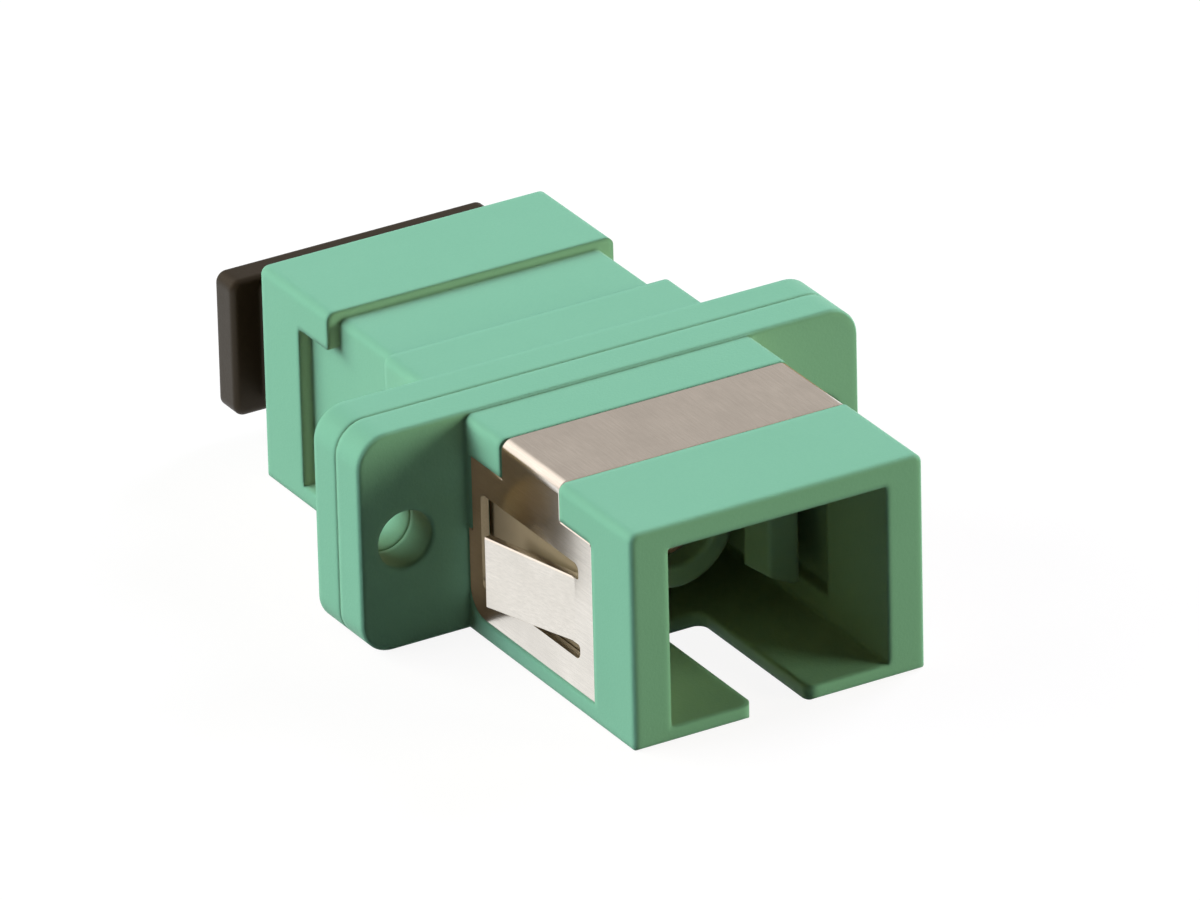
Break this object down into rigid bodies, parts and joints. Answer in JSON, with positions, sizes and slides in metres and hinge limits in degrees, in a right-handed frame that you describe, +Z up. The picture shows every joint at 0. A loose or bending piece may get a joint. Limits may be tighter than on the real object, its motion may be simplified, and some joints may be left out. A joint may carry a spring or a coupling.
{
  "type": "sc fibre adapter",
  "caption": "Panel adapter that joins two square push-pull fibre plugs end to end, with a screw flange, a spring clip and a pull-out dust cap.",
  "frame": {"origin": "on the fibre axis in the seam plane, half way through the flange", "axes": "+Y along the fibre axis towards the capped socket, so the open socket faces -Y; +Z up, with the key slots below; +X across the width"},
  "size_m": [0.0222, 0.0324, 0.0091],
  "materials": {
    "housing_plastic": "fine satin moulded surface",
    "insert_plastic": "satin moulded surface",
    "sleeve_ceramic": "polished white ceramic",
    "clip_steel": "rolled stainless sheet",
    "cap_plastic": "smooth dark moulded surface"
  },
  "bodies": {
    "adapter": {"front_housing": "housing_plastic", "rear_housing": "housing_plastic", "front_latch_insert": "insert_plastic", "rear_latch_insert": "insert_plastic", "alignment_sleeve": "sleeve_ceramic", "mounting_clip": "clip_steel"},
    "dust_cap": {"rear_dust_cap": "cap_plastic"}
  },
  "joints": [
    {"name": "cap_pull", "type": "slide", "parent": "adapter", "child": "dust_cap", "axis": [0, 1, 0], "range_m": [0, 0.006]}
  ]
}
